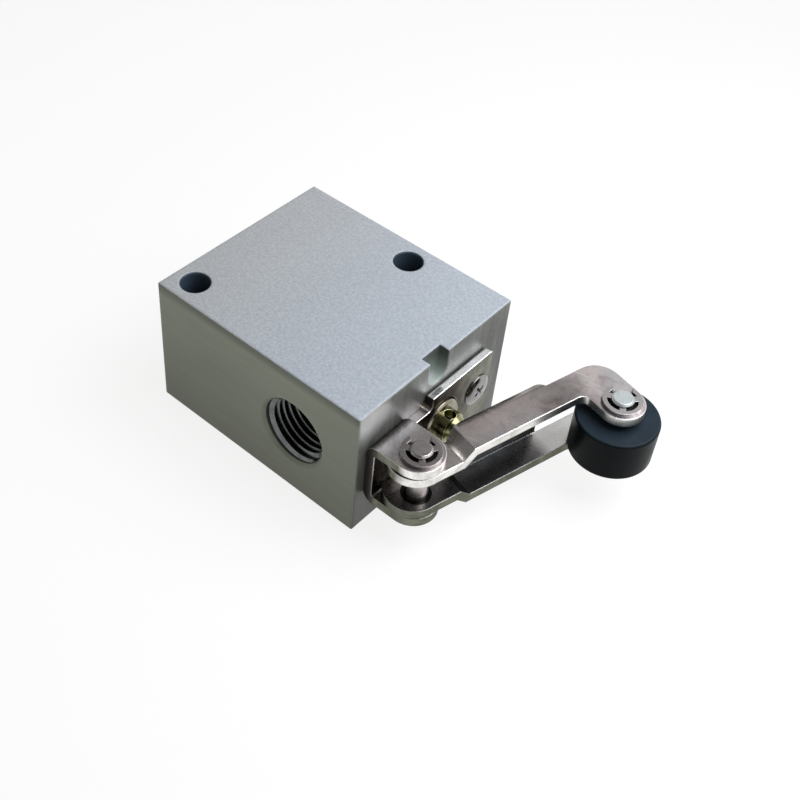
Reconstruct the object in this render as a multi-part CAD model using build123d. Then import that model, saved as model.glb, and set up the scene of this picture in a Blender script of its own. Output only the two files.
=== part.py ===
from build123d import *
import math
import os

os.makedirs("parts", exist_ok=True)

# All sizes are in millimetres. The origin is the centre of the body's big mounting face,
# +X points out of the face that carries the lever, +Y points away from the outlet port
# and +Z runs through the body's thickness.

# valve body
body_length = 48.0
body_width = 41.0
body_height = 28.0
corner_radius = 0.3
rim_radius = 0.25
axis_height = body_height / 2
face_x = body_length / 2
mounting_hole_radius = 2.75
mounting_hole_inset = 4.75
far_hole_x = 4.0
notch_width = 5.0
notch_depth = 2.0
notch_bottom = 22.0

# pipe ports, quarter-inch taper thread
port_thread_radius = 6.58
port_mouth_radius = 7.25
port_thread_depth = 9.0
port_drill_radius = 5.6
port_depth = 10.6
port_passage_radius = 3.6
outlet_x = 9.25
supply_x = -9.25

# stepped main bore along X
bush_bore_radius = 6.5
bush_bore_end = 13.5
seat_bore_radius = 6.0
seat_shoulder = -2.0
supply_bore_radius = 5.0
supply_bore_end = -18.0

# guide bush and its seals
bush_radius = 6.46
nose_radius = 4.45
nose_front = 26.5
stem_radius = 2.9
bush_clearance = 0.04
gland_radius = 4.5
gland_front = 16.6
retainer_thickness = 1.0

# plunger
stem_end = 28.9
stem_tip = 31.79
tip_radius = 1.6
nose_angle = 60
stem_shoulder = 13.42
collar_radius = 4.3
collar_thickness = 1.5
tube_radius = 2.2
tube_end = -1.45
vent_radius = 1.3
cross_hole_radius = 1.1
cross_hole_x = 27.7

# seat insert and poppet
seat_radius = 5.97
seat_front = 2.5
seat_bore = 3.2
seat_lip_radius = 3.8
seat_lip_height = 0.6
poppet_gap = 0.05
poppet_seal_radius = 4.2
poppet_seal_thickness = 1.8
poppet_radius = 4.95
poppet_flat = 4.45
poppet_length = 6.0
spigot_radius = 1.9
spigot_length = 2.2

# springs
plunger_spring_radius = 3.45
plunger_spring_turns = 5.5
poppet_spring_radius = 2.75
poppet_spring_turns = 6.5
wire_radius = 0.35

# sheet bracket that carries the lever
bracket_sheet = 1.8
ear_bottom = 7.1
ear_top = 20.9
plate_bottom = 6.8
plate_top = 21.2
bracket_left = -18.17
bracket_right = 14.05
ear_width = 9.3
ear_radius = 4.65
ear_end_x = 31.2
bend_inside = 0.5
die_roll = 0.6
relief_width = 6.05
relief_depth = 2.6
screw_offset = 10.4
screw_radius = 2.0
screw_head_radius = 3.2
screw_head_height = 0.9
screw_crown_radius = 0.65
screw_length = 8.0

# lever, bent from one sheet into a channel
pivot_x = 31.77
pivot_y = -13.55
lever_angle = 14.2
lever_sheet = 1.8
lever_back = -3.2
lever_front = 4.0
lever_end = 40.7
lever_elbow = 32.4
elbow_radius = 1.5
lever_inner_half = 5.05
pivot_inner_half = 3.1
jog_start = 6.0
jog_end = 8.15
jog_shift = 0.66
web_bend = 2.0
web_start = 10.5
web_end = 26.7
tail_start = 27.9
tail_back = -1.2
tail_corner = 4.4
pivot_boss_radius = 5.15
pivot_boss_offset = -1.1
pivot_boss_back = -4.7
roller_along = 36.55
roller_out = 8.75
boss_radius = 4.15

# pins and their snap rings
pin_radius = 2.0
pin_head_radius = 3.1
pin_head_height = 1.2
groove_radius = 1.5
ring_radius = 3.55
ring_inner_radius = 2.7
ring_thickness = 0.6

# roller
roller_radius = 7.5
roller_half = 4.25
roller_bore = 2.06
roller_height = 13.3
roller_rim = 0.5


def tube_along_x(outer, start, end, inner=0.0, y=0.0):
    solid = Pos((start + end) / 2, y, axis_height) * Rot(0, 90, 0) * Cylinder(outer, abs(end - start))
    if inner > 0:
        core = Rot(0, 90, 0) * Cylinder(inner, abs(end - start) + 1)
        solid -= Pos((start + end) / 2, y, axis_height) * core
    return solid


def rod_along_y(radius, x, start, end, z=axis_height):
    return Pos(x, (start + end) / 2, z) * Rot(90, 0, 0) * Cylinder(radius, abs(end - start))


def rod_along_z(radius, x, y, start, end):
    return Pos(x, y, (start + end) / 2) * Cylinder(radius, abs(end - start))


def seal_ring(middle_radius, section, x):
    return Pos(x, 0, axis_height) * Rot(0, 90, 0) * Torus(middle_radius, section)


def coil_spring(middle_radius, turns, start, end):
    length = end - start
    path = Helix(pitch=(length - 0.1) / turns, height=length - 0.1, radius=middle_radius)
    section = Plane(origin=path @ 0, z_dir=path % 0) * Circle(wire_radius)
    coil = sweep(section, path=path, is_frenet=True)
    coil = Pos(0, 0, 0.05) * coil
    ground = Pos(0, 0, length / 2) * Cylinder(middle_radius + 2, length)
    coil = coil & ground
    return Pos(start, 0, axis_height) * Rot(0, 90, 0) * coil


def chamfered_through_hole(x, y):
    hole = rod_along_z(mounting_hole_radius, x, y, -1, body_height + 1)
    for z, low, high in ((0.0, 0.25, 0.0), (body_height, 0.0, 0.25)):
        hole += Pos(x, y, z) * Cone(mounting_hole_radius + low, mounting_hole_radius + high, 0.5)
    return hole


def port(x, side):
    face_y = side * body_width / 2
    hole = rod_along_y(port_thread_radius, x, face_y + side, face_y - side * port_thread_depth)
    hole += rod_along_y(port_drill_radius, x, face_y, face_y - side * port_depth)
    hole += rod_along_y(port_passage_radius, x, face_y, 0)
    mouth_height = port_mouth_radius - port_thread_radius
    mouth = Cone(port_thread_radius, port_mouth_radius, mouth_height)
    mouth = Rot(-90 * side, 0, 0) * mouth
    return hole + Pos(x, face_y - side * mouth_height / 2, axis_height) * mouth


def make_body():
    body = Pos(0, 0, body_height / 2) * Box(body_length, body_width, body_height)
    body = fillet(body.edges().filter_by(Axis.Z), corner_radius)
    rims = body.faces().sort_by(Axis.Z)[-1].edges() + body.faces().sort_by(Axis.Z)[0].edges()
    body = fillet(rims, rim_radius)
    body -= tube_along_x(bush_bore_radius, bush_bore_end, face_x + 1)
    body -= tube_along_x(seat_bore_radius, seat_shoulder, face_x)
    body -= tube_along_x(supply_bore_radius, supply_bore_end, face_x)
    body -= port(outlet_x, -1)
    body -= port(supply_x, 1)
    near_x = -body_length / 2 + mounting_hole_inset
    hole_y = body_width / 2 - mounting_hole_inset
    body -= chamfered_through_hole(near_x, -hole_y)
    body -= chamfered_through_hole(far_hole_x, hole_y)
    for y in (-screw_offset, screw_offset):
        hole_end = face_x + bracket_sheet - screw_length - 0.8
        body -= tube_along_x(screw_radius + 0.04, hole_end, face_x + 1, y=y)
    notch_radius = notch_width / 2
    notch = Pos(face_x, 0, (body_height + 1 + notch_bottom + notch_radius) / 2) * Box(
        2 * notch_depth, notch_width, body_height + 1 - notch_bottom - notch_radius
    )
    notch += tube_along_x(notch_radius, face_x - notch_depth, face_x + notch_depth).moved(
        Pos(0, 0, notch_bottom + notch_radius - axis_height)
    )
    return body - notch


def make_bush():
    bush = tube_along_x(bush_radius, bush_bore_end, face_x - 0.02)
    bush += tube_along_x(nose_radius, face_x - 1, nose_front)
    bush -= tube_along_x(stem_radius + bush_clearance, 0, 40)
    bush -= tube_along_x(gland_radius, bush_bore_end - 1, gland_front)
    groove = tube_along_x(bush_radius + 1, 18.0, 19.8, inner=5.3)
    bush -= groove
    rim = bush.faces().sort_by(Axis.X)[-1].edges().sort_by(SortBy.RADIUS)[-1]
    return chamfer(rim, 0.35)


def plunger_stem():
    tip_centre = stem_tip - tip_radius
    turn = math.radians(nose_angle)
    touch = (tip_centre + tip_radius * math.cos(turn), tip_radius * math.sin(turn))
    halfway = (tip_centre + tip_radius * math.cos(turn / 2), tip_radius * math.sin(turn / 2))
    with BuildSketch() as profile:
        with BuildLine():
            Polyline(
                (stem_tip, 0), (stem_shoulder, 0), (stem_shoulder, stem_radius), (stem_end - 0.3, stem_radius),
                (stem_end, stem_radius - 0.3), touch,
            )
            ThreePointArc(touch, halfway, (stem_tip, 0))
        make_face()
    return Pos(0, 0, axis_height) * revolve(profile.sketch, axis=Axis.X)


def make_plunger():
    plunger = plunger_stem()
    plunger += tube_along_x(collar_radius, stem_shoulder - collar_thickness, stem_shoulder)
    plunger += tube_along_x(tube_radius, tube_end, stem_shoulder)
    plunger -= tube_along_x(vent_radius, tube_end - 1, cross_hole_x)
    plunger -= rod_along_z(cross_hole_radius, cross_hole_x, 0, axis_height - 5, axis_height + 5)
    return plunger


def make_seat():
    seat = tube_along_x(seat_radius, seat_shoulder, seat_front)
    seat += tube_along_x(seat_lip_radius, seat_shoulder - seat_lip_height, seat_front)
    seat -= tube_along_x(seat_bore, -10, 10)
    seat -= tube_along_x(seat_radius + 1, -0.3, 1.5, inner=4.85)
    lip = seat.faces().sort_by(Axis.X)[0].edges()
    return chamfer(lip, 0.12)


def make_poppet():
    front = seat_shoulder - seat_lip_height - poppet_gap
    rear = front - poppet_length
    core = tube_along_x(poppet_radius, rear, front - 0.3)
    for turn in (0, 120, 240):
        flat = Pos(0, 0, poppet_flat + 2) * Box(40, 20, 4)
        core -= Pos(0, 0, axis_height) * Rot(turn, 0, 0) * flat
    core += tube_along_x(spigot_radius, rear - spigot_length, rear)
    core -= tube_along_x(poppet_seal_radius, front - poppet_seal_thickness, front + 1)
    seal = tube_along_x(poppet_seal_radius, front - poppet_seal_thickness, front)
    return core, seal


def bracket_ears():
    front = face_x + bracket_sheet
    reach = ear_end_x + ear_radius
    height = ear_top - ear_bottom
    section = Pos((face_x + reach) / 2, axis_height) * Rectangle(reach - face_x, height)
    section = fillet(section.vertices().group_by(Axis.X)[0], bracket_sheet + bend_inside)
    hollow = Pos((front + reach + 2) / 2, axis_height) * Rectangle(reach + 2 - front, height - 2 * bracket_sheet)
    section -= fillet(hollow.vertices().group_by(Axis.X)[0], bend_inside)
    channel = Pos(0, bracket_left, 0) * extrude(Plane.XZ * section, -ear_width)
    middle = bracket_left + ear_width / 2
    plan = Pos((face_x + ear_end_x) / 2, middle) * Rectangle(ear_end_x - face_x, ear_width)
    plan += Pos(ear_end_x, middle) * Circle(ear_radius)
    return channel & extrude(plan, 40)


def bracket_plate():
    front = face_x + bracket_sheet
    ear_edge = bracket_left + ear_width
    width = bracket_right - ear_edge
    height = plate_top - plate_bottom
    plate = Pos(face_x + bracket_sheet / 2, ear_edge + width / 2, axis_height) * Box(bracket_sheet, width, height)
    plate = fillet(plate.edges().filter_by(Axis.X).group_by(Axis.Y)[-1], 0.4)
    plate = fillet(plate.edges().filter_by(Axis.Y).group_by(Axis.X)[0], die_roll)
    for z in (plate_bottom, plate_top):
        relief = Pos(front, ear_edge + relief_width / 2, z) * Box(6, relief_width, 2 * relief_depth)
        plate -= fillet(relief.edges().filter_by(Axis.X), 1.0)
    return plate


def make_bracket():
    front = face_x + bracket_sheet
    bracket = bracket_plate() + bracket_ears()
    bracket -= tube_along_x(nose_radius + 0.25, face_x - 1, front + 1)
    for y in (-screw_offset, screw_offset):
        bracket -= tube_along_x(screw_radius + 0.2, face_x - 1, front + 1, y=y)
    return bracket - rod_along_z(pin_radius + 0.02, pivot_x, pivot_y, 0, 40)


def make_bracket_screws():
    front = face_x + bracket_sheet
    crown = front + screw_head_height
    screws = []
    for y in (-screw_offset, screw_offset):
        screw = tube_along_x(screw_radius, front - screw_length, front, y=y)
        head = tube_along_x(screw_head_radius, front, crown, y=y)
        head = fillet(head.faces().sort_by(Axis.X)[-1].edges(), screw_crown_radius)
        for turn in (45, 135):
            head -= Pos(crown, y, axis_height) * Rot(turn, 0, 0) * Box(1.4, 3.0, 0.8)
        screws.append(screw + head)
    return Compound(children=screws)


def lever_outline():
    with BuildSketch() as sketch:
        with BuildLine():
            Polyline(
                (pivot_boss_offset, 0), (lever_front, 0), (lever_front, lever_elbow), (roller_out, lever_elbow),
                (roller_out, lever_end), (tail_back, lever_end), (tail_back, tail_start), (lever_back, web_end),
                (lever_back, web_start), (-2.4, 9.3), (-1.8, 7.5), (-1.05, 6.1), (-1.0, 4.8),
                (pivot_boss_offset, 0),
            )
        make_face()
    outline = sketch.sketch
    elbow = outline.vertices().sort_by_distance((lever_front, lever_elbow))[0]
    outline = fillet(elbow, elbow_radius)
    corner = outline.vertices().sort_by_distance((tail_back, lever_end))[0]
    outline = fillet(corner, tail_corner)
    boss = Pos(pivot_boss_offset, 0) * Circle(pivot_boss_radius)
    boss -= Pos(pivot_boss_back - 5, 0) * Rectangle(10, 20)
    return outline + boss + Pos(roller_out, roller_along) * Circle(boss_radius)


def lever_flange(outline):
    z = lever_inner_half
    p = pivot_inner_half
    t = lever_sheet
    side = Polyline(
        (-12, p), (jog_start + jog_shift, p), (jog_end + jog_shift, z), (60, z), (60, z + t), (jog_end, z + t),
        (jog_start, p + t), (-12, p + t), (-12, p),
    )
    bent = extrude(make_face(Plane.YZ * side), 30, both=True)
    flange = extrude(outline, 40, both=True) & bent
    start = jog_end + jog_shift
    bend_zone = Pos(lever_back - 3 + web_bend, (start + tail_start) / 2, 0) * Box(6, tail_start - start, 40)
    return flange - bend_zone


def lever_web(outline):
    width = 2 * (lever_inner_half + lever_sheet)
    start = jog_end + jog_shift
    outside = Pos(lever_back + web_bend / 2 + 2, 0) * Rectangle(web_bend + 4, width)
    outside = fillet(outside.vertices().group_by(Axis.X)[0], web_bend)
    inside = Pos(lever_back + lever_sheet + 10, 0) * Rectangle(20, 2 * lever_inner_half)
    inside = fillet(inside.vertices().group_by(Axis.X)[0], web_bend - lever_sheet + 0.1)
    section = outside - inside
    section = section & (Pos(lever_back + web_bend / 2, 0) * Rectangle(web_bend, width))
    web = Pos(0, start, 0) * extrude(Plane.XZ * section, -(tail_start - start))
    return web & extrude(outline, 40, both=True)


def make_lever():
    outline = lever_outline()
    upper = lever_flange(outline)
    lower = mirror(upper, about=Plane.XY)
    lever = upper + lower + lever_web(outline)
    lever -= Cylinder(pin_radius + 0.04, 60)
    lever -= Pos(roller_out, roller_along, 0) * Cylinder(pin_radius + 0.02, 60)
    return Pos(pivot_x, pivot_y, axis_height) * Rot(0, 0, -lever_angle) * lever


def snap_ring(x, y, bottom, mouth_angle):
    ring = Cylinder(ring_radius, ring_thickness)
    ring -= Cylinder(ring_inner_radius, 2)
    prong = Pos(-2.1, 0, 0) * Box(1.6, 1.1, ring_thickness)
    ring += prong - Cylinder(groove_radius, 2)
    for turn in (75, -75):
        prong = Rot(0, 0, turn) * (Pos(2.1, 0, 0) * Box(1.6, 1.2, ring_thickness))
        ring += prong - Cylinder(groove_radius, 2)
    mouth = Pos(3, 0, 0) * Box(4, 3.3, 2)
    ring -= mouth
    return Pos(x, y, bottom + ring_thickness / 2) * Rot(0, 0, mouth_angle) * ring


def headed_pin(x, y, under_head, ring_bottom, top):
    pin = rod_along_z(pin_radius, x, y, under_head - 0.2, top)
    end = pin.faces().sort_by(Axis.Z)[-1].edges()
    pin = chamfer(end, 0.3)
    head = rod_along_z(pin_head_radius, x, y, under_head - pin_head_height, under_head)
    foot = head.faces().sort_by(Axis.Z)[0].edges()
    pin += fillet(foot, 0.4)
    groove = rod_along_z(pin_radius + 1, x, y, ring_bottom - 0.03, ring_bottom + ring_thickness + 0.03)
    groove -= rod_along_z(groove_radius, x, y, ring_bottom - 1, ring_bottom + 2)
    return pin - groove


def make_roller(x, y):
    roller = Cylinder(roller_radius, 2 * roller_half) - Cylinder(roller_bore, 20)
    rims = roller.edges().filter_by(GeomType.CIRCLE).filter_by(lambda e: e.radius > roller_radius - 0.1)
    roller = fillet(rims, roller_rim)
    return Pos(x, y, roller_height) * roller


def save(solid, name, colour):
    solid.label = name
    solid.color = Color(*colour)
    export_step(solid, "parts/" + name + ".step")


steel = (0.70, 0.67, 0.64)
brass = (0.78, 0.63, 0.30)
black = (0.05, 0.05, 0.06)
lever_turn = math.radians(lever_angle)
roller_x = pivot_x + roller_along * math.sin(lever_turn) + roller_out * math.cos(lever_turn)
roller_y = pivot_y + roller_along * math.cos(lever_turn) - roller_out * math.sin(lever_turn)
lever_top = axis_height + lever_inner_half + lever_sheet
lever_bottom = axis_height - lever_inner_half - lever_sheet
poppet_rear = seat_shoulder - seat_lip_height - poppet_gap - poppet_length

save(make_body(), "valve_body", (0.66, 0.68, 0.70))
save(make_bush(), "guide_bush", brass)
save(seal_ring(5.9, 0.56, 18.9), "guide_bush_o_ring", black)
save(seal_ring(3.72, 0.76, 15.5), "plunger_rod_seal", black)
retainer = tube_along_x(gland_radius - 0.01, bush_bore_end, bush_bore_end + retainer_thickness, inner=3.05)
save(retainer, "seal_retainer", brass)
save(make_plunger(), "plunger", brass)
plunger_spring = coil_spring(
    plunger_spring_radius, plunger_spring_turns, seat_front + 0.02, stem_shoulder - collar_thickness - 0.02
)
save(plunger_spring, "plunger_spring", steel)
save(make_seat(), "valve_seat", brass)
save(seal_ring(5.42, 0.55, 0.6), "valve_seat_o_ring", black)
poppet_core, poppet_seal = make_poppet()
save(poppet_core, "poppet_core", brass)
save(poppet_seal, "poppet_seal", black)
poppet_spring = coil_spring(
    poppet_spring_radius, poppet_spring_turns, supply_bore_end + 0.02, poppet_rear - 0.02
)
save(poppet_spring, "poppet_spring", steel)
save(make_bracket(), "lever_bracket", steel)
save(make_bracket_screws(), "bracket_screws", steel)
ear_ring_bottom = ear_top + 0.06
pivot_pin = headed_pin(pivot_x, pivot_y, ear_bottom - 0.03, ear_ring_bottom, ear_ring_bottom + 1.2)
save(pivot_pin, "pivot_pin", steel)
save(snap_ring(pivot_x, pivot_y, ear_ring_bottom, 131), "pivot_e_ring", steel)
save(make_lever(), "lever", steel)
roller_ring_bottom = lever_top + 0.05
roller_pin = headed_pin(roller_x, roller_y, lever_bottom - 0.03, roller_ring_bottom, roller_ring_bottom + 1.15)
save(roller_pin, "roller_pin", steel)
save(snap_ring(roller_x, roller_y, roller_ring_bottom, 122), "roller_e_ring", steel)
save(make_roller(roller_x, roller_y), "roller", black)
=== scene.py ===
import bpy
import bmesh
import math
from mathutils import Matrix, Vector


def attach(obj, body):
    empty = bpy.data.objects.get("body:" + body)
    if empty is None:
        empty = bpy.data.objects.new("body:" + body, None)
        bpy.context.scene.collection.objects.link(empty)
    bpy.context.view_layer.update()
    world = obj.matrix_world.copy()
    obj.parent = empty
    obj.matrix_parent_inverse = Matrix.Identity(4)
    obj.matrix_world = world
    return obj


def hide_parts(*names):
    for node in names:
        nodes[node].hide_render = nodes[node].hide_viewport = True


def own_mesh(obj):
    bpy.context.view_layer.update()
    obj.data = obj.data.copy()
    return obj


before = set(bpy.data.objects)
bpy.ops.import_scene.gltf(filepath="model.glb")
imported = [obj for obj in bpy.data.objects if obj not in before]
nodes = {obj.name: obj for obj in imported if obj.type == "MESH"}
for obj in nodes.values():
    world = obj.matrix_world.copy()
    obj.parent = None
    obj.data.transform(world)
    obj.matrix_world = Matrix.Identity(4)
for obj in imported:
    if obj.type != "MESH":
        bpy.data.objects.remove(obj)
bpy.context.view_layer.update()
print("stage: frame loaded")

mm = 0.001
axisHeight = 14 * mm


# material helpers: most add one or two nodes and return the socket to link from
def newFinish(name, colour, metallic, roughness):
    finish = bpy.data.materials.new(name)
    finish.use_nodes = True
    shader = finish.node_tree.nodes["Principled BSDF"]
    shader.inputs["Base Color"].default_value = (*colour, 1)
    shader.inputs["Metallic"].default_value = metallic
    shader.inputs["Roughness"].default_value = roughness
    return finish, finish.node_tree, shader


def objectPoint(tree, scale=(1, 1, 1), turn=(0, 0, 0), centre=(0, 0, 0)):
    coords = tree.nodes.new("ShaderNodeTexCoord")
    moved = tree.nodes.new("ShaderNodeMapping")
    moved.vector_type = "TEXTURE"
    moved.inputs["Location"].default_value = centre
    moved.inputs["Rotation"].default_value = turn
    tree.links.new(coords.outputs["Object"], moved.inputs["Vector"])
    stretched = tree.nodes.new("ShaderNodeMapping")
    stretched.inputs["Scale"].default_value = scale
    tree.links.new(moved.outputs["Vector"], stretched.inputs["Vector"])
    return stretched.outputs["Vector"]


def noise(tree, point, scale, detail=3.0, rough=0.55, distortion=0.0):
    node = tree.nodes.new("ShaderNodeTexNoise")
    node.inputs["Scale"].default_value = scale
    node.inputs["Detail"].default_value = detail
    node.inputs["Roughness"].default_value = rough
    node.inputs["Distortion"].default_value = distortion
    tree.links.new(point, node.inputs["Vector"])
    return node.outputs["Fac"]


def ramp(tree, value, stops):
    node = tree.nodes.new("ShaderNodeValToRGB")
    elements = node.color_ramp.elements
    while len(elements) < len(stops):
        elements.new(0.5)
    for element, (place, colour) in zip(elements, stops):
        element.position = place
        element.color = (*colour, 1)
    tree.links.new(value, node.inputs["Fac"])
    return node.outputs["Color"]


def colourRamp(tree, value, places, colours):
    return ramp(tree, value, tuple(zip(places, colours)))


def greyRamp(tree, value, stops):
    return ramp(tree, value, tuple((place, (level, level, level)) for place, level in stops))


def rescale(tree, value, low, high, fromLow=0.3, fromHigh=0.7):
    node = tree.nodes.new("ShaderNodeMapRange")
    node.inputs["From Min"].default_value = fromLow
    node.inputs["From Max"].default_value = fromHigh
    node.inputs["To Min"].default_value = low
    node.inputs["To Max"].default_value = high
    tree.links.new(value, node.inputs["Value"])
    return node.outputs["Result"]


def varied(tree, value, middle, spread):
    return rescale(tree, value, middle + spread[0], middle + spread[1])


def blendColours(tree, amount, first, second, how="MIX"):
    node = tree.nodes.new("ShaderNodeMix")
    node.data_type = "RGBA"
    node.blend_type = how
    # the colour sockets come after the ones for numbers and vectors
    sockets = {"Factor": node.inputs[0], "A": node.inputs[6], "B": node.inputs[7]}
    for key, source in (("Factor", amount), ("A", first), ("B", second)):
        if isinstance(source, (int, float)):
            sockets[key].default_value = source
        elif isinstance(source, tuple):
            sockets[key].default_value = (*source, 1)
        else:
            tree.links.new(source, sockets[key])
    return node.outputs[2]


def roundedEdges(tree, radius):
    node = tree.nodes.new("ShaderNodeBevel")
    node.samples = 6
    node.inputs["Radius"].default_value = radius
    return node.outputs["Normal"]


def edgeMask(tree, rounded, low=0.02, high=0.2):
    # 1 where the rounded normal leaves the flat one, so on the rounded edges only, where the finishes paint
    # edge highlights
    surface = tree.nodes.new("ShaderNodeNewGeometry")
    match = tree.nodes.new("ShaderNodeVectorMath")
    match.operation = "DOT_PRODUCT"
    tree.links.new(rounded, match.inputs[0])
    tree.links.new(surface.outputs["Normal"], match.inputs[1])
    return rescale(tree, match.outputs["Value"], 0, 1, 1 - low, 1 - high)


def placeAlong(tree, point, axis):
    node = tree.nodes.new("ShaderNodeSeparateXYZ")
    tree.links.new(point, node.inputs[0])
    return node.outputs[axis]


def normalUp(tree):
    surface = tree.nodes.new("ShaderNodeNewGeometry")
    return placeAlong(tree, surface.outputs["Normal"], "Z")


def mathStep(tree, operation, first, second=0.0):
    node = tree.nodes.new("ShaderNodeMath")
    node.operation = operation
    for socket, source in zip(node.inputs, (first, second)):
        if isinstance(source, (int, float)):
            socket.default_value = source
        else:
            tree.links.new(source, socket)
    return node.outputs[0]


def beyond(tree, value, limit, soft):
    # 0 below the limit and 1 above it, or the other way round where soft is negative
    return rescale(tree, value, 0, 1, limit - soft, limit + soft)


def holeMask(tree, place, radius, scale=(1, 1, 0), soft=0.06 * mm):
    # 1 within a radius of an axis, which runs along the direction whose scale is 0
    middle = objectPoint(tree, scale=scale, centre=place)
    length = tree.nodes.new("ShaderNodeVectorMath")
    length.operation = "LENGTH"
    tree.links.new(middle, length.inputs[0])
    return rescale(tree, length.outputs["Value"], 1, 0, radius - soft, radius)


def bump(tree, shader, height, strength, distance, before):
    node = tree.nodes.new("ShaderNodeBump")
    node.inputs["Strength"].default_value = strength
    node.inputs["Distance"].default_value = distance
    tree.links.new(height, node.inputs["Height"])
    tree.links.new(before, node.inputs["Normal"])
    tree.links.new(node.outputs["Normal"], shader.inputs["Normal"])
    return node.outputs["Normal"]


# body: aluminium block, blasted on its two big faces, milled and streaked elsewhere
bodyLook = {
    "metallic": 0.12, "rough": 0.52, "roughSpread": (-0.05, 0.07), "endSmoother": -0.12,
    "edgeRadius": 0.75 * mm, "depth": 0.014 * mm, "grainBump": 0.35, "lineBump": 0.18,
    "tall": 28 * mm, "bigFaces": 13.93 * mm, "endFaces": 23.93 * mm, "faceSoft": 0.03 * mm,
    "edge": ((0.0, (0.42, 0.44, 0.40)), (0.93, (0.52, 0.54, 0.51)), (0.965, (0.34, 0.36, 0.32))),

    # big faces, warmer toward the back end
    "blasted": (0.465, 0.50, 0.545), "blastedDeep": (0.395, 0.425, 0.465), "blastedPale": (0.53, 0.565, 0.61),
    "grain": {"scale": 2100, "rough": 0.6}, "grainPlaces": (0.34, 0.54, 0.72),
    "flecks": {"scale": 5200, "detail": 1.0}, "fleckStops": ((0.66, 0.0), (0.76, 0.5)),
    "fleck": (0.66, 0.69, 0.73), "clouds": {"scale": 60}, "cloudStops": ((0.3, 0.95), (0.7, 1.0)),
    "warm": (1.06, 1.0, 0.93), "warmMost": 0.9, "warmSpan": (-24 * mm, 12 * mm),

    # long sides
    "milled": (0.44, 0.465, 0.385), "milledDeep": (0.395, 0.42, 0.345), "milledPlaces": (0.3, 0.62),
    "sideLines": {"scale": 1500, "detail": 4.0, "rough": 0.7}, "sideLineStretch": (0.04, 1, 1),
    "sideClouds": {"scale": 130}, "sideCloudStretch": (0.4, 1, 1),
    "sideCloudStops": ((0.3, 0.93), (0.65, 1.0)),
    "sideShadeStops": ((0.0, 0.64), (0.25, 0.76), (0.7, 1.02), (0.92, 1.14), (0.97, 0.66)),

    # end faces
    "endPale": (0.32, 0.33, 0.30), "endMid": (0.18, 0.187, 0.168), "endDeep": (0.095, 0.10, 0.086),
    "endBands": {"scale": 190, "detail": 4.0, "rough": 0.6, "distortion": 0.2},
    "endBandStretch": (1, 1, 0.16), "endBandPlaces": (0.36, 0.50, 0.68),
    "endLines": {"scale": 1900, "rough": 0.7}, "endLineStretch": (1, 1, 0.03),
    "endLinePlaces": (0.35, 0.65), "endLineAmount": 0.18,
    "endShadeStops": ((0.0, 0.8), (0.6, 0.8), (0.8, 0.62), (1.0, 0.9)),
    "spot": (0.52, 0.53, 0.50), "spotPlace": (24 * mm, -18.6 * mm, 26.2 * mm),
    "spotRadius": 6 * mm, "spotSoft": 4.5 * mm, "spotScale": (1, 0.9, 1),

    # notch, ports and mounting holes
    "notchBack": 21.9 * mm, "notchHalf": 2.56 * mm, "notchFoot": 21.9 * mm, "notchSoft": 0.02 * mm,
    "notchSpan": (22 * mm, 28 * mm),
    "notch": ((0.0, (0.44, 0.50, 0.46)), (0.35, (0.30, 0.35, 0.32)),
              (0.7, (0.12, 0.14, 0.13)), (1.0, (0.09, 0.10, 0.09))),
    "port": (0.045, 0.048, 0.046), "portPlaces": (9.25 * mm, -9.25 * mm), "portRadius": 6.75 * mm,
    "portMouth": 20.1 * mm, "portSoft": 0.05 * mm,
    "hole": (0.045, 0.070, 0.10), "holePlaces": ((-19.25 * mm, -15.75 * mm), (4.0 * mm, 15.75 * mm)),
    "holeRadius": 2.9 * mm,
}


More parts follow.
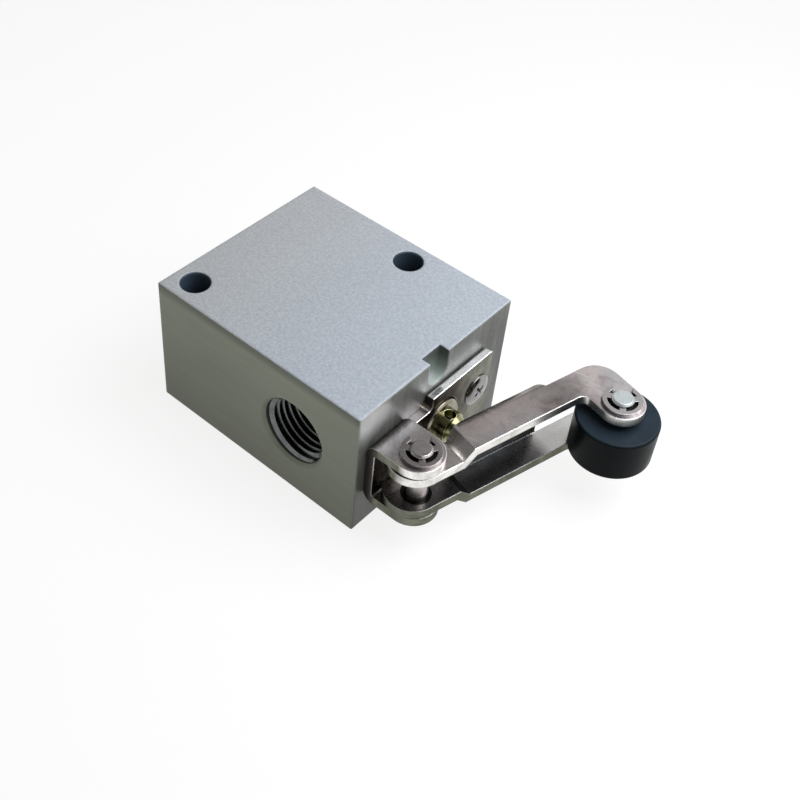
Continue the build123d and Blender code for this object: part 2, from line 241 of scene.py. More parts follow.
def blastedBody():
    look = bodyLook
    finish, tree, shader = newFinish("blastedBody", look["blasted"], look["metallic"], look["rough"])
    rounded = roundedEdges(tree, look["edgeRadius"])
    point = objectPoint(tree)
    lengthwise = placeAlong(tree, point, "X")
    sideways = mathStep(tree, "ABSOLUTE", placeAlong(tree, point, "Y"))
    height = placeAlong(tree, point, "Z")
    fromMiddle = mathStep(tree, "ABSOLUTE", mathStep(tree, "SUBTRACT", height, axisHeight))
    onBlasted = beyond(tree, fromMiddle, look["bigFaces"], look["faceSoft"])
    onEnds = beyond(tree, mathStep(tree, "ABSOLUTE", lengthwise), look["endFaces"], look["faceSoft"])
    rise = rescale(tree, height, 0, 1, 0, look["tall"])

    grain = noise(tree, point, **look["grain"])
    tones = (look["blastedDeep"], look["blasted"], look["blastedPale"])
    blasted = colourRamp(tree, grain, look["grainPlaces"], tones)
    flecks = greyRamp(tree, noise(tree, point, **look["flecks"]), look["fleckStops"])
    blasted = blendColours(tree, flecks, blasted, look["fleck"])
    clouds = greyRamp(tree, noise(tree, point, **look["clouds"]), look["cloudStops"])
    blasted = blendColours(tree, 1.0, blasted, clouds, "MULTIPLY")
    warmer = rescale(tree, lengthwise, look["warmMost"], 0, *look["warmSpan"])
    blasted = blendColours(tree, warmer, blasted, look["warm"], "MULTIPLY")

    # cutter marks run along the body on the sides and up the end faces; the end faces carry them in dark
    # tones that are painted shade
    sideLines = noise(tree, objectPoint(tree, look["sideLineStretch"]), **look["sideLines"])
    milled = colourRamp(tree, sideLines, look["milledPlaces"], (look["milledDeep"], look["milled"]))
    sideClouds = noise(tree, objectPoint(tree, look["sideCloudStretch"]), **look["sideClouds"])
    sideClouds = greyRamp(tree, sideClouds, look["sideCloudStops"])
    milled = blendColours(tree, 1.0, milled, sideClouds, "MULTIPLY")
    endBands = noise(tree, objectPoint(tree, look["endBandStretch"]), **look["endBands"])
    tones = (look["endDeep"], look["endMid"], look["endPale"])
    ends = colourRamp(tree, endBands, look["endBandPlaces"], tones)
    endLines = noise(tree, objectPoint(tree, look["endLineStretch"]), **look["endLines"])
    endLines = colourRamp(tree, endLines, look["endLinePlaces"], (look["endDeep"], look["endPale"]))
    ends = blendColours(tree, look["endLineAmount"], ends, endLines)

    # painted shade darkens the ends under their top edge, and a painted highlight spot lightens one end near
    # its top front corner; painted shade darkens the sides toward the foot and along their top edge
    ends = blendColours(tree, 1.0, ends, greyRamp(tree, rise, look["endShadeStops"]), "MULTIPLY")
    paintedHighlightSpot = holeMask(tree, look["spotPlace"], look["spotRadius"], look["spotScale"], look["spotSoft"])
    ends = blendColours(tree, paintedHighlightSpot, ends, look["spot"])
    colour = blendColours(tree, onEnds, milled, ends)
    # painted highlight on the rounded edges, darkening to a painted shadow line along the top edge
    colour = blendColours(tree, edgeMask(tree, rounded), colour, ramp(tree, rise, look["edge"]))
    notEnds = mathStep(tree, "SUBTRACT", 1.0, onEnds)
    colour = blendColours(tree, notEnds, colour, greyRamp(tree, rise, look["sideShadeStops"]), "MULTIPLY")
    colour = blendColours(tree, onBlasted, colour, blasted)

    # the notch is pale at its foot with a painted highlight and darkens upward with painted shade; painted
    # shade darkens the ports and the mounting holes inside
    inNotch = mathStep(tree, "SUBTRACT", beyond(tree, lengthwise, look["notchBack"], look["notchSoft"]),
                       beyond(tree, sideways, look["notchHalf"], look["notchSoft"]))
    inNotch = mathStep(tree, "MULTIPLY", inNotch, beyond(tree, height, look["notchFoot"], look["notchSoft"]))
    inNotch = mathStep(tree, "SUBTRACT", inNotch, mathStep(tree, "MAXIMUM", onEnds, onBlasted))
    notchLightAndShade = ramp(tree, rescale(tree, height, 0, 1, *look["notchSpan"]), look["notch"])
    colour = blendColours(tree, mathStep(tree, "MAXIMUM", inNotch, 0.0), colour, notchLightAndShade)
    for x in look["portPlaces"]:
        inPort = mathStep(tree, "SUBTRACT", holeMask(tree, (x, 0, axisHeight), look["portRadius"], (1, 0, 1)),
                          beyond(tree, sideways, look["portMouth"], look["portSoft"]))
        colour = blendColours(tree, mathStep(tree, "MAXIMUM", inPort, 0.0), colour, look["port"])
    for x, y in look["holePlaces"]:
        colour = blendColours(tree, holeMask(tree, (x, y, 0), look["holeRadius"]), colour, look["hole"])
    tree.links.new(colour, shader.inputs["Base Color"])

    smoother = mathStep(tree, "MULTIPLY", onEnds, look["endSmoother"])
    roughness = mathStep(tree, "ADD", varied(tree, grain, look["rough"], look["roughSpread"]), smoother)
    tree.links.new(roughness, shader.inputs["Roughness"])
    first = bump(tree, shader, grain, look["grainBump"], look["depth"], rounded)
    bump(tree, shader, sideLines, look["lineBump"], look["depth"], first)
    return finish


# plated sheet: nickel over rolled steel, with rolling marks, dull patches and handling scratches
sheetLook = {
    "colour": (0.66, 0.59, 0.565), "cool": (0.53, 0.515, 0.525), "tint": {"scale": 75, "detail": 2.0},
    "tintPlaces": (0.4, 0.6), "grazing": (0.5, 0.5, 0.48), "ringGapShade": (0.022, 0.021, 0.020),
    "rough": 0.24, "roughSpread": (0.13, -0.05), "edgeRadius": 0.28 * mm, "depth": 0.006 * mm,
    "rolled": {"scale": 2600}, "rolledStretch": (1.0, 0.05, 1.0), "rolledBump": 0.35,
    "patches": {"scale": 230, "detail": 6.0, "rough": 0.66, "distortion": 0.4},
    "dull": (0.26, 0.222, 0.21), "dullStops": ((0.32, 1.0), (0.56, 0.0)),
    "sideStops": ((0.35, 0.6), (0.6, 1.0)),
    "scratches": {"scale": 1900, "detail": 4.0, "rough": 0.7, "distortion": 0.3},
    "scratch": (0.80, 0.765, 0.74), "scratchStops": ((0.60, 0.0), (0.68, 0.8)),
    "scratchStretch": (0.06, 1.0, 1.0), "scratchTurn": 0.5, "scratchBump": 0.25,

    # the upper edges catch the light, the lower ones don't
    "edge": (0.92, 0.90, 0.86), "edgeBelow": (0.30, 0.305, 0.26), "edgeLimit": 0.5 * mm,
    "highEdge": (0.97, 0.95, 0.91), "lowEdge": (0.20, 0.205, 0.165), "upSoft": 1 * mm, "frontSoft": 0.8 * mm,
    "sheared": (0.97, 0.97, 0.94), "shearedLimit": 7.12 * mm, "shearedSoft": 0.03 * mm,
    "sideNormal": (0.45, 0.97), "sideSoft": 3 * mm, "rimSoft": 0.04 * mm, "plateSoft": 0.3 * mm,
    "backSoft": 0.1 * mm, "tabSoft": 1.3 * mm, "pinRadius": 2.75 * mm,
}
pivot = (31.77 * mm, -13.55 * mm, axisHeight)
rollerPlace = (49.2186 * mm, 19.7368 * mm, axisHeight)
stemAxis = (0, 0, axisHeight)
leverTurn = math.radians(-14.2)
leverPlace = {
    "centre": pivot, "turn": leverTurn, "rollingTurn": leverTurn, "half": 5.06 * mm, "pivotHalf": 3.11 * mm,
    "jog": (6.66 * mm, 8.81 * mm), "back": -2.0 * mm, "front": 0.6 * mm, "pins": (pivot, rollerPlace),
    "sideLimit": 0, "side": ((0.19, 0.18, 0.172), (0.19, 0.18, 0.172)),
    "leverReflection": ((0.0, 0.85), (0.42, 1.0), (0.55, 0.82), (0.70, 0.56), (0.81, 1.18)),
    "toneSpan": (-4 * mm, 44 * mm),
    "inside": (0.09, 0.095, 0.095), "insideSpan": (23 * mm, 29 * mm),
    "tab": (0.86, 0.85, 0.83), "tabStart": 26.4 * mm,
}
bracketPlace = {
    "centre": stemAxis, "turn": 0, "rollingTurn": math.radians(90), "half": 5.11 * mm, "jog": None,
    "front": 31.5 * mm, "plateFront": 26.4 * mm, "pins": (pivot,),
    "sideLimit": 6 * mm, "side": ((0.11, 0.095, 0.09), (0.33, 0.33, 0.285)),
}


def platedSheet(name, place):
    look = sheetLook
    finish, tree, shader = newFinish(name, look["colour"], 1.0, look["rough"])
    shader.inputs["Specular Tint"].default_value = (*look["grazing"], 1)
    rounded = roundedEdges(tree, look["edgeRadius"])
    centre = place["centre"]
    point = objectPoint(tree)
    rollingPoint = objectPoint(tree, look["rolledStretch"], (0, 0, place["rollingTurn"]), centre)
    rolled = noise(tree, rollingPoint, **look["rolled"])
    scratchTurn = (0, 0, place["rollingTurn"] + look["scratchTurn"])
    scratch = noise(tree, objectPoint(tree, look["scratchStretch"], scratchTurn, centre), **look["scratches"])
    patches = noise(tree, point, **look["patches"])
    tint = noise(tree, point, **look["tint"])
    colour = colourRamp(tree, tint, look["tintPlaces"], (look["colour"], look["cool"]))
    colour = blendColours(tree, greyRamp(tree, patches, look["dullStops"]), colour, look["dull"])
    colour = blendColours(tree, greyRamp(tree, scratch, look["scratchStops"]), colour, look["scratch"])

    local = objectPoint(tree, turn=(0, 0, place["turn"]), centre=centre)
    across = placeAlong(tree, local, "X")
    lengthwise = placeAlong(tree, local, "Y")
    up = placeAlong(tree, local, "Z")
    wall = place["half"]
    if place["jog"]:
        # painted reflection: the lever's flat faces are darkest just before its roller end
        leverReflection = greyRamp(tree, rescale(tree, lengthwise, 0, 1, *place["toneSpan"]), place["leverReflection"])
        colour = blendColours(tree, 1.0, colour, leverReflection, "MULTIPLY")
        wall = rescale(tree, lengthwise, place["pivotHalf"], place["half"], *place["jog"])

    # the flat faces are buffed; painted shade darkens the sides and bends, and the sheared upper edges are
    # burnished with a painted highlight
    inRim = beyond(tree, mathStep(tree, "SUBTRACT", mathStep(tree, "ABSOLUTE", up), wall), 0, look["rimSoft"])
    onSide = rescale(tree, mathStep(tree, "ABSOLUTE", normalUp(tree)), 1, 0, *look["sideNormal"])
    lit = mathStep(tree, "MULTIPLY", beyond(tree, up, 0, look["upSoft"]),
                   beyond(tree, across, place["front"], look["frontSoft"]))
    rim = blendColours(tree, lit, look["lowEdge"], look["highEdge"])
    # painted shade: sides and bends get a dark colour, which on the bracket plate pales past the limit along
    # the plate
    pastLimit = beyond(tree, lengthwise, place["sideLimit"], look["sideSoft"])
    side = blendColours(tree, pastLimit, *place["side"])
    if not place["jog"]:
        # only the ears have rims, the plate behind them is a flat face
        onEars = beyond(tree, across, place["plateFront"], look["plateSoft"])
        inRim = mathStep(tree, "MULTIPLY", inRim, onEars)
    sides = blendColours(tree, inRim, side, rim)
    stained = greyRamp(tree, patches, look["sideStops"])
    colour = blendColours(tree, onSide, colour, blendColours(tree, 1.0, sides, stained, "MULTIPLY"))
    if place["jog"]:
        # painted shade darkens the inside of the channel, fading out toward the web's end
        inside = mathStep(tree, "MULTIPLY", mathStep(tree, "SUBTRACT", 1.0, inRim),
                          beyond(tree, across, place["back"], look["backSoft"]))
        beforeEnd = rescale(tree, lengthwise, 1, 0, *place["insideSpan"])
        colour = blendColours(tree, mathStep(tree, "MULTIPLY", inside, beforeEnd), colour, place["inside"])
        # painted reflection: the lower flange is bright again where the web stops
        onTabReflection = mathStep(tree, "MULTIPLY", beyond(tree, lengthwise, place["tabStart"], look["tabSoft"]),
                         mathStep(tree, "SUBTRACT", 1.0, onSide))
        onTabReflection = mathStep(tree, "MULTIPLY", onTabReflection, beyond(tree, up, 0, -look["upSoft"]))
        colour = blendColours(tree, onTabReflection, colour, place["tab"])
    isHigh = beyond(tree, up, look["edgeLimit"], look["upSoft"])
    edges = blendColours(tree, isHigh, look["edgeBelow"], look["edge"])
    colour = blendColours(tree, edgeMask(tree, rounded), colour, edges)
    # the sheared top edge is burnished, with a painted highlight
    isSheared = beyond(tree, up, look["shearedLimit"], look["shearedSoft"])
    colour = blendColours(tree, isSheared, colour, look["sheared"])
    # painted shade around the pins, where the snap rings' gaps show the sheet
    for pin in place["pins"]:
        colour = blendColours(tree, holeMask(tree, (*pin[:2], 0), look["pinRadius"]), colour, look["ringGapShade"])
    tree.links.new(colour, shader.inputs["Base Color"])
    roughness = varied(tree, patches, look["rough"], look["roughSpread"])
    tree.links.new(roughness, shader.inputs["Roughness"])
    first = bump(tree, shader, rolled, look["rolledBump"], look["depth"], rounded)
    bump(tree, shader, scratch, look["scratchBump"], look["depth"], first)
    return finish


# turned parts: marks run round the turning axis
turnedLook = {
    "ringSpacing": 0.11 * mm, "waveFactor": 20,
    "rings": {"Distortion": 0.6, "Detail": 2.0, "Detail Scale": 0.4},
    "stain": {"scale": 700, "detail": 4.0}, "stainPlaces": (0.3, 0.65), "stainShade": 0.72,
    "edgeRadius": 0.14 * mm, "edgeGain": 1.25, "edgeLift": 0.05, "ringShadeSoft": 0.03 * mm,
    "roughSpread": (0.08, -0.03), "bump": 0.3, "depth": 0.006 * mm,
}


def turnedMetal(name, colour, rough, axis, centre, metallic=1.0, spacing=turnedLook["ringSpacing"],
                edge=None, ringShadeBand=None):
    look = turnedLook
    finish, tree, shader = newFinish(name, colour, metallic, rough)
    rounded = roundedEdges(tree, look["edgeRadius"])
    point = objectPoint(tree, centre=centre)
    rings = tree.nodes.new("ShaderNodeTexWave")
    rings.wave_type = "RINGS"
    rings.rings_direction = axis
    rings.inputs["Scale"].default_value = math.tau / (look["waveFactor"] * spacing)
    for key, amount in look["rings"].items():
        rings.inputs[key].default_value = amount
    tree.links.new(point, rings.inputs["Vector"])
    stain = noise(tree, point, **look["stain"])
    stained = tuple(c * look["stainShade"] for c in colour)
    toned = colourRamp(tree, stain, look["stainPlaces"], (stained, colour))
    # painted highlight on the rounded edges
    bright = edge or tuple(min(1, c * look["edgeGain"] + look["edgeLift"]) for c in colour)
    toned = blendColours(tree, edgeMask(tree, rounded), toned, bright)
    if ringShadeBand:
        # painted shade under and between the snap ring's prongs
        up = placeAlong(tree, objectPoint(tree), "Z")
        inRingShade = mathStep(tree, "SUBTRACT", beyond(tree, up, ringShadeBand[0], look["ringShadeSoft"]),
                         beyond(tree, up, ringShadeBand[1], look["ringShadeSoft"]))
        toned = blendColours(tree, inRingShade, toned, sheetLook["ringGapShade"])
    tree.links.new(toned, shader.inputs["Base Color"])
    tree.links.new(varied(tree, stain, rough, look["roughSpread"]), shader.inputs["Roughness"])
    bump(tree, shader, rings.outputs["Fac"], look["bump"], look["depth"], rounded)
    return finish


# moulded black plastic and rubber; a painted sheen in a top colour lightens the flat end that faces up
darkLook = {
    "gloss": 0.07, "edgeRadius": 0.2 * mm, "wear": {"scale": 240, "detail": 4.0, "rough": 0.65},
    "wearPlaces": (0.42, 0.78), "wornGain": 1.8, "wornLift": 0.003, "roughSpread": (-0.05, 0.1),
    "topNormal": (0.5, 0.98), "topPlaces": (0.35, 0.7), "topShade": 0.8, "bump": 0.25, "depth": 0.01 * mm,
    "roller": {"colour": (0.0026, 0.0046, 0.0056), "rough": 0.34, "grainScale": 1800,
               "top": (0.021, 0.032, 0.043)},
    "rubber": {"colour": (0.010, 0.010, 0.011), "rough": 0.55, "grainScale": 2600},
}


def mouldedBlack(name, colour, rough, grainScale, top=None):
    look = darkLook
    finish, tree, shader = newFinish(name, colour, 0.0, rough)
    shader.inputs["Specular IOR Level"].default_value = look["gloss"]
    rounded = roundedEdges(tree, look["edgeRadius"])
    point = objectPoint(tree)
    grain = noise(tree, point, grainScale)
    wear = noise(tree, point, **look["wear"])
    worn = tuple(c * look["wornGain"] + look["wornLift"] for c in colour)
    toned = colourRamp(tree, wear, look["wearPlaces"], (colour, worn))
    if top:
        topSheenFacing = rescale(tree, normalUp(tree), 0, 1, *look["topNormal"])
        shaded = tuple(c * look["topShade"] for c in top)
        toned = blendColours(tree, topSheenFacing, toned, colourRamp(tree, wear, look["topPlaces"], (shaded, top)))
    tree.links.new(toned, shader.inputs["Base Color"])
    tree.links.new(varied(tree, wear, rough, look["roughSpread"]), shader.inputs["Roughness"])
    bump(tree, shader, grain, look["bump"], look["depth"], rounded)
    return finish


# turned finishes and the CAD nodes that wear them
turnedParts = (
    ({"name": "turnedBrass", "colour": (0.31, 0.30, 0.15), "rough": 0.2, "axis": "X", "centre": stemAxis,
      "edge": (0.66, 0.64, 0.38)}, ("plunger", "seal_retainer", "valve_seat", "poppet_core")),
    ({"name": "turnedBush", "colour": (0.33, 0.30, 0.235), "rough": 0.2, "axis": "X", "centre": stemAxis,
      "edge": (0.62, 0.57, 0.50)}, ("guide_bush",)),
    ({"name": "turnedPivotPin", "colour": (0.50, 0.47, 0.45), "rough": 0.26, "axis": "Z", "centre": pivot,
      "ringShadeBand": (20.85 * mm, 21.62 * mm)}, ("pivot_pin",)),
    ({"name": "turnedRollerPin", "colour": (0.56, 0.60, 0.59), "rough": 0.30, "axis": "Z",
      "centre": rollerPlace, "metallic": 0.6, "ringShadeBand": (20.80 * mm, 21.55 * mm)}, ("roller_pin",)),
    ({"name": "ringSteelPivot", "colour": (0.40, 0.37, 0.355), "rough": 0.26, "axis": "Z", "centre": pivot,
      "spacing": 0.3 * mm}, ("pivot_e_ring",)),
    ({"name": "ringSteelRoller", "colour": (0.48, 0.46, 0.45), "rough": 0.26, "axis": "Z",
      "centre": rollerPlace, "spacing": 0.3 * mm}, ("roller_e_ring",)),
)


def dress(finish, *names):
    for name in names:
        for place in nodes[name].material_slots:
            place.material = finish


dress(blastedBody(), "valve_body")
dress(platedSheet("platedLever", leverPlace), "lever")
dress(platedSheet("platedBracket", bracketPlace), "lever_bracket")
for turned, names in turnedParts:
    dress(turnedMetal(**turned), *names)
dress(mouldedBlack("rollerPlastic", **darkLook["roller"]), "roller")
dress(mouldedBlack("sealRubber", **darkLook["rubber"]),
      "guide_bush_o_ring", "plunger_rod_seal", "valve_seat_o_ring", "poppet_seal")
print("stage: finishes on the CAD nodes")


def closeEnds(sides, smoothAngle):
    # fills the two open ends of a swept section and finishes the piece
    bpy.ops.mesh.select_all(action="DESELECT")
    bpy.ops.mesh.select_non_manifold(extend=False, use_wire=False, use_boundary=True, use_multi_face=False,
                                     use_non_contiguous=False, use_verts=False)
    bpy.ops.mesh.fill_holes(sides=sides)
    bpy.ops.mesh.select_all(action="SELECT")
    bpy.ops.mesh.normals_make_consistent(inside=False)
    bpy.ops.object.mode_set(mode="OBJECT")
    bpy.ops.object.shade_smooth_by_angle(angle=math.radians(smoothAngle))
    bpy.ops.object.transform_apply(location=True, rotation=True, scale=True)


# port threads: one closed ridge per port, swept along the bore's axis
threadLook = {
    "outletX": 9.25 * mm, "supplyX": -9.25 * mm, "faceY": 20.5 * mm, "start": 1.15 * mm,
    "rootRadius": 6.62 * mm, "crestRadius": 5.80 * mm, "baseWidth": 1.30 * mm, "crestWidth": 0.22 * mm,
    "pitch": 1.337 * mm, "turns": 5, "steps": 60, "runOut": 18, "runOutDepth": 0.97, "corners": 4,
    "mergeWithin": 0.01 * mm, "smoothAngle": 30, "colour": (0.15, 0.16, 0.155), "rough": 0.18,
}


def portThread(name, x, side):
    look = threadLook
    bpy.ops.object.select_all(action="DESELECT")
    firstY = side * (look["faceY"] - look["start"])
    bpy.ops.mesh.primitive_plane_add(size=1, location=(x, firstY, axisHeight))
    ridge = bpy.context.object
    ridge.name = name
    bpy.ops.object.mode_set(mode="EDIT")
    bpy.ops.mesh.select_all(action="SELECT")
    depth = look["rootRadius"] - look["crestRadius"]
    halfway = look["crestRadius"] + depth / 2
    bpy.ops.transform.resize(value=(depth, look["baseWidth"], 1))
    bpy.ops.transform.translate(value=(halfway, 0, 0))
    mesh = bmesh.from_edit_mesh(ridge.data)
    for vertex in mesh.verts:
        vertex.select_set(vertex.co.x < halfway)
    bmesh.update_edit_mesh(ridge.data)
    bpy.ops.transform.resize(value=(1, look["crestWidth"] / look["baseWidth"], 1))
    bpy.ops.object.mode_set(mode="OBJECT")
    screw = ridge.modifiers.new("turns", "SCREW")
    screw.axis = "Y"
    screw.angle = math.tau
    screw.screw_offset = -side * look["pitch"]
    screw.iterations = look["turns"]
    screw.steps = look["steps"]
    screw.render_steps = look["steps"]
    bpy.ops.object.modifier_apply(modifier="turns")
    bpy.ops.object.mode_set(mode="EDIT")
    bpy.ops.mesh.select_all(action="SELECT")
    bpy.ops.mesh.remove_doubles(threshold=look["mergeWithin"])
    bpy.ops.mesh.select_mode(type="VERT")

    # the crest rises out of the root over the first and last part of a turn
    lastRing = look["steps"] * look["turns"]
    toRoot = (look["rootRadius"] / look["crestRadius"] - 1) * look["runOutDepth"]
    for step in range(look["runOut"]):
        grow = 1 + toRoot * (1 - step / look["runOut"])
        mesh = bmesh.from_edit_mesh(ridge.data)
        for vertex in mesh.verts:
            onCrest = math.hypot(vertex.co.x, vertex.co.z) < halfway
            ring = vertex.index // look["corners"]
            vertex.select_set(onCrest and ring in (step, lastRing - step))
        mesh.select_flush_mode()
        bmesh.update_edit_mesh(ridge.data)
        bpy.ops.transform.resize(value=(grow, 1, grow), center_override=(x, firstY, axisHeight))
    closeEnds(look["corners"], look["smoothAngle"])
    ridge.data.materials.append(threadFinish)
    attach(ridge, "housing")


threadFinish = turnedMetal("cutThread", threadLook["colour"], threadLook["rough"], "Y",
                           (threadLook["outletX"], 0, axisHeight))
portThread("outlet_port_thread", threadLook["outletX"], -1)
portThread("supply_port_thread", threadLook["supplyX"], 1)
print("stage: port threads")


# bracket screws: low domed heads with a cross recess, made once and copied to the other side
screwLook = {
    "y": 10.4 * mm, "seat": 25.80 * mm, "headRadius": 3.18 * mm, "rim": 0.24 * mm, "sides": 48,
    "dome": ((0.35 * mm, 0.22 * mm), (0.70 * mm, 0.17 * mm), (0.90 * mm, 0.08 * mm)),
    "shankRadius": 1.98 * mm, "shankLength": 8.0 * mm, "faceNormal": 0.9,
    "slotWidth": 0.82 * mm, "slotLength": 3.5 * mm, "slotDepth": 0.75 * mm, "slotTaper": 0.55,
    "turn": 28, "otherTurn": 63, "mergeWithin": 0.002 * mm, "smoothAngle": 32,
    "colour": (0.29, 0.285, 0.28), "rough": 0.16, "ringSpacing": 0.25 * mm,
}


def pickEnd(piece, side):
    # selects the faces that look along X, or against it where side is -1
    mesh = bmesh.from_edit_mesh(piece.data)
    for face in mesh.faces:
        face.select_set(side * face.normal.x > screwLook["faceNormal"])
    mesh.select_flush_mode()
    bmesh.update_edit_mesh(piece.data)


def bracketScrew():
    look = screwLook
    bpy.ops.object.select_all(action="DESELECT")
    bpy.ops.mesh.primitive_cylinder_add(
        vertices=look["sides"], radius=look["headRadius"], depth=look["rim"],
        location=(look["seat"] + look["rim"] / 2, look["y"], axisHeight), rotation=(0, math.pi / 2, 0))
    head = bpy.context.object
    head.name = "cross_recess_screws"
    bpy.ops.object.transform_apply(location=True, rotation=True, scale=True)
    bpy.ops.object.mode_set(mode="EDIT")
    bpy.ops.mesh.select_mode(type="FACE")
    pickEnd(head, 1)
    for width, rise in look["dome"]:
        bpy.ops.mesh.inset(thickness=width, depth=0)
        bpy.ops.transform.translate(value=(rise, 0, 0))
    pickEnd(head, -1)
    bpy.ops.mesh.inset(thickness=look["headRadius"] - look["shankRadius"], depth=0)
    bpy.ops.mesh.extrude_region_move(TRANSFORM_OT_translate={"value": (-look["shankLength"], 0, 0)})
    bpy.ops.mesh.select_all(action="SELECT")
    bpy.ops.mesh.normals_make_consistent(inside=False)
    bpy.ops.object.mode_set(mode="OBJECT")

    crown = look["seat"] + look["rim"] + sum(rise for width, rise in look["dome"])
    for turn in (look["turn"], look["turn"] + 90):
        bpy.ops.object.select_all(action="DESELECT")
        bpy.ops.mesh.primitive_cube_add(size=1, location=(crown, look["y"], axisHeight))
        cutter = bpy.context.object
        bpy.ops.object.mode_set(mode="EDIT")
        bpy.ops.mesh.select_all(action="SELECT")
        bpy.ops.transform.resize(value=(2 * look["slotDepth"], look["slotWidth"], look["slotLength"]))
        bpy.ops.mesh.select_mode(type="FACE")
        pickEnd(cutter, -1)
        bpy.ops.transform.resize(value=(1, look["slotTaper"], look["slotTaper"]))
        bpy.ops.object.mode_set(mode="OBJECT")
        cutter.rotation_euler = (math.radians(turn), 0, 0)
        bpy.ops.object.transform_apply(location=True, rotation=True, scale=True)
        bpy.ops.object.select_all(action="DESELECT")
        head.select_set(True)
        bpy.context.view_layer.objects.active = head
        cut = head.modifiers.new("recess", "BOOLEAN")
        cut.operation = "DIFFERENCE"
        cut.solver = "EXACT"
        cut.object = cutter
        bpy.ops.object.modifier_apply(modifier="recess")
        bpy.data.objects.remove(cutter)
    return head


def placeScrews():
    look = screwLook
    screw = bracketScrew()
    bpy.ops.object.mode_set(mode="EDIT")
    bpy.ops.mesh.select_all(action="SELECT")
    bpy.ops.mesh.remove_doubles(threshold=look["mergeWithin"])
    bpy.ops.mesh.duplicate()
    bpy.ops.transform.translate(value=(0, -2 * look["y"], 0))
    bpy.ops.transform.rotate(value=math.radians(look["otherTurn"] - look["turn"]), orient_axis="X",
                             center_override=(look["seat"], -look["y"], axisHeight))
    bpy.ops.mesh.select_all(action="SELECT")
    bpy.ops.mesh.normals_make_consistent(inside=False)
    bpy.ops.object.mode_set(mode="OBJECT")
    bpy.ops.object.shade_smooth_by_angle(angle=math.radians(look["smoothAngle"]))
    steel = turnedMetal("screwSteel", look["colour"], look["rough"], "X", (0, look["y"], axisHeight),
                        spacing=look["ringSpacing"])
    screw.data.materials.append(steel)
    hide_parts("bracket_screws")
    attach(screw, "housing")


placeScrews()
print("stage: bracket screws")


# springs: a wire section swept round the bore's axis
springLook = {
    "wireRadius": 0.34 * mm, "wireSides": 12, "stepsPerTurn": 32, "endGap": 0.02 * mm, "smoothAngle": 40,
    "plunger": {"radius": 3.45 * mm, "turns": 5.5, "start": 2.52 * mm, "end": 11.90 * mm,
                "travel": 2.78 * mm},
    "poppet": {"radius": 2.75 * mm, "turns": 6.5, "start": -17.98 * mm, "end": -8.67 * mm,
               "travel": 1.66 * mm},
    "colour": (0.50, 0.50, 0.50), "rough": 0.3, "ringSpacing": 0.2 * mm,
}


def coilSpring(name, node, size):
    look = springLook
    inset = look["wireRadius"] + look["endGap"]
    bpy.ops.object.select_all(action="DESELECT")
    bpy.ops.mesh.primitive_circle_add(vertices=look["wireSides"], radius=look["wireRadius"],
                                      location=(size["start"] + inset, 0, axisHeight))
    coil = bpy.context.object
    coil.name = name
    bpy.ops.object.mode_set(mode="EDIT")
    bpy.ops.mesh.select_all(action="SELECT")
    bpy.ops.transform.translate(value=(0, size["radius"], 0))
    bpy.ops.object.mode_set(mode="OBJECT")
    sweep = coil.modifiers.new("turns", "SCREW")
    sweep.axis = "X"
    sweep.angle = math.tau * size["turns"]
    sweep.screw_offset = size["end"] - size["start"] - 2 * inset
    sweep.steps = round(look["stepsPerTurn"] * size["turns"])
    sweep.render_steps = sweep.steps
    bpy.ops.object.modifier_apply(modifier="turns")
    bpy.ops.object.mode_set(mode="EDIT")
    bpy.ops.mesh.select_mode(type="VERT")
    closeEnds(look["wireSides"], look["smoothAngle"])
    coil.data.materials.append(springFinish)
    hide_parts(node)
    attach(coil, "housing")
    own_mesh(coil)


springFinish = turnedMetal("springWire", springLook["colour"], springLook["rough"], "X", stemAxis,
                           spacing=springLook["ringSpacing"])
coilSpring("plunger_spring_coil", "plunger_spring", springLook["plunger"])
coilSpring("poppet_spring_coil", "poppet_spring", springLook["poppet"])
print("stage: springs")


# stage, lights and camera
stageLook = {
    "floorSize": 8, "floorHeight": -0.02 * mm, "floorColour": (0.17, 0.17, 0.165), "floorRough": 0.9,
    "floorLift": 0.84, "whiteRays": ("Is Camera Ray", "Is Glossy Ray", "Is Transmission Ray"),
    "ambient": (1.0, 1.03, 0.88), "ambientLevel": 0.25,
    "horizon": ((0.30, 1.0), (0.55, 0.0)), "brightWay": (0.60, 0.50, -0.40), "leanShift": 0.5,
    "overheadShade": ((0.20, 0.10), (0.28, 0.20), (0.355, 0.42), (0.42, 0.80), (0.6, 1.0)),
}
lampLook = {
    "place": (0.100, 0.070, 0.19), "target": (0.005, 0.005, 0.02), "size": 0.20, "power": 0.48,
    "colour": (0.97, 0.99, 1.08),
}


def whiteSeen(tree, rays):
    # 1 for the rays that see the backdrop itself, 0 for the light it throws on the object
    path = tree.nodes.new("ShaderNodeLightPath")
    seen = path.outputs[rays[0]]
    for ray in rays[1:]:
        seen = mathStep(tree, "MAXIMUM", seen, path.outputs[ray])
    return seen


def paleFloor():
    look = stageLook
    bpy.ops.object.select_all(action="DESELECT")
    bpy.ops.mesh.primitive_plane_add(size=look["floorSize"], location=(0, 0, look["floorHeight"]))
    floor = bpy.context.object
    floor.name = "floor"
    finish, tree, shader = newFinish("paleFloor", look["floorColour"], 0.0, look["floorRough"])
    lift = mathStep(tree, "MULTIPLY", whiteSeen(tree, look["whiteRays"]), look["floorLift"])
    shader.inputs["Emission Color"].default_value = (1, 1, 1, 1)
    tree.links.new(lift, shader.inputs["Emission Strength"])
    floor.data.materials.append(finish)


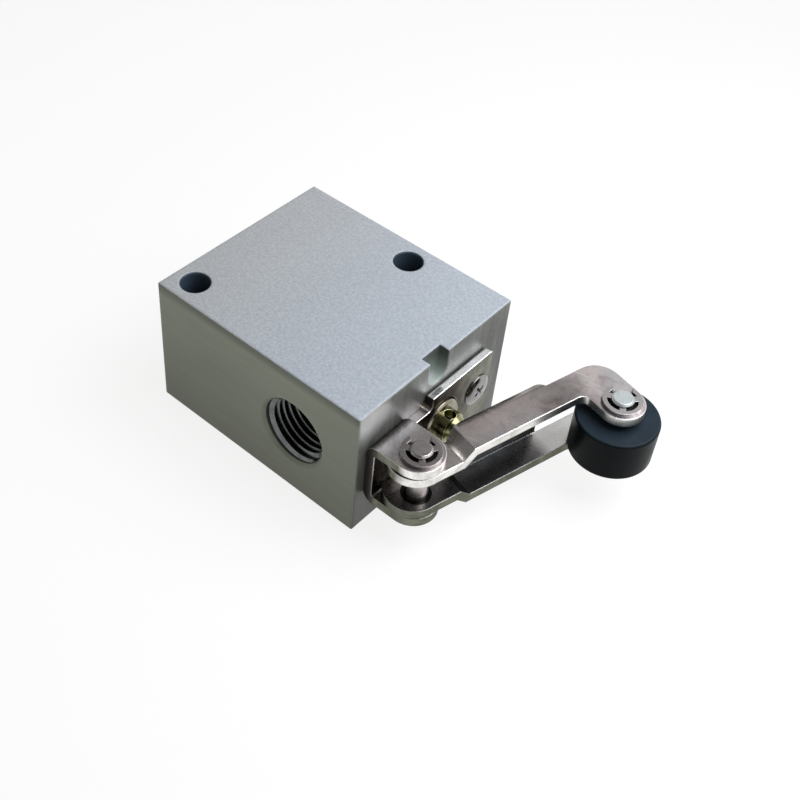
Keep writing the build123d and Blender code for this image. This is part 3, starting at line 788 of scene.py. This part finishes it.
def worldLight():
    look = stageLook
    world = bpy.data.worlds.new("studio")
    bpy.context.scene.world = world
    world.use_nodes = True
    tree = world.node_tree
    sky = tree.nodes["Background"]
    sky.inputs["Color"].default_value = (*look["ambient"], 1)
    sky.inputs["Strength"].default_value = look["ambientLevel"]
    coords = tree.nodes.new("ShaderNodeTexCoord")
    # the backdrop is white at the horizon and below, and overhead it darkens away from the bright side
    height = placeAlong(tree, coords.outputs["Generated"], "Z")
    level = greyRamp(tree, height, look["horizon"])
    sideways = tree.nodes.new("ShaderNodeVectorMath")
    sideways.operation = "DOT_PRODUCT"
    sideways.inputs[1].default_value = look["brightWay"]
    tree.links.new(coords.outputs["Generated"], sideways.inputs[0])
    lean = mathStep(tree, "ADD", sideways.outputs["Value"], look["leanShift"])
    shade = blendColours(tree, 1.0, level, greyRamp(tree, lean, look["overheadShade"]), "LIGHTEN")
    seenShade = blendColours(tree, whiteSeen(tree, ("Is Camera Ray",)), shade, (1.0, 1.0, 1.0))
    backdrop = tree.nodes.new("ShaderNodeBackground")
    tree.links.new(seenShade, backdrop.inputs["Color"])
    backdrop.inputs["Strength"].default_value = 1.0
    mixed = tree.nodes.new("ShaderNodeMixShader")
    tree.links.new(whiteSeen(tree, look["whiteRays"]), mixed.inputs[0])
    tree.links.new(sky.outputs[0], mixed.inputs[1])
    tree.links.new(backdrop.outputs[0], mixed.inputs[2])
    tree.links.new(mixed.outputs[0], tree.nodes["World Output"].inputs["Surface"])


def softLamp(name, place, target, size, power, colour):
    lamp = bpy.data.lights.new(name, "AREA")
    lamp.shape = "DISK"
    lamp.size = size
    lamp.energy = power
    lamp.color = colour
    holder = bpy.data.objects.new(name, lamp)
    bpy.context.scene.collection.objects.link(holder)
    holder.location = place
    holder.rotation_euler = (Vector(target) - Vector(place)).to_track_quat("-Z", "Y").to_euler()


cameraLook = {
    "place": (105.197 * mm, -125.039 * mm, 170.755 * mm), "turn": 40.582, "tilt": 43.538, "roll": 2.791,
    "focal": 1218.71, "centreX": 323.997, "centreY": 341.912, "frameSize": 800, "sensor": 36,
    "nearest": 0.005, "farthest": 10,
}


def photoCamera():
    # the focal length and the centre are in pixels of the photograph
    look = cameraLook
    data = bpy.data.cameras.new("photoCamera")
    data.sensor_width = look["sensor"]
    data.lens = look["focal"] / look["frameSize"] * look["sensor"]
    data.shift_x = (look["frameSize"] / 2 - look["centreX"]) / look["frameSize"]
    data.shift_y = (look["centreY"] - look["frameSize"] / 2) / look["frameSize"]
    data.clip_start = look["nearest"]
    data.clip_end = look["farthest"]
    camera = bpy.data.objects.new("photoCamera", data)
    bpy.context.scene.collection.objects.link(camera)
    turned = Matrix.Rotation(math.radians(look["turn"]), 4, "Z")
    tilted = Matrix.Rotation(math.radians(90 - look["tilt"]), 4, "X")
    rolled = Matrix.Rotation(math.radians(look["roll"]), 4, "Z")
    camera.matrix_world = Matrix.Translation(look["place"]) @ turned @ tilted @ rolled
    bpy.context.scene.camera = camera


paleFloor()
worldLight()
softLamp("overhead", **lampLook)
photoCamera()
bpy.context.scene.view_settings.view_transform = "Standard"
print("stage: floor, lights and camera")
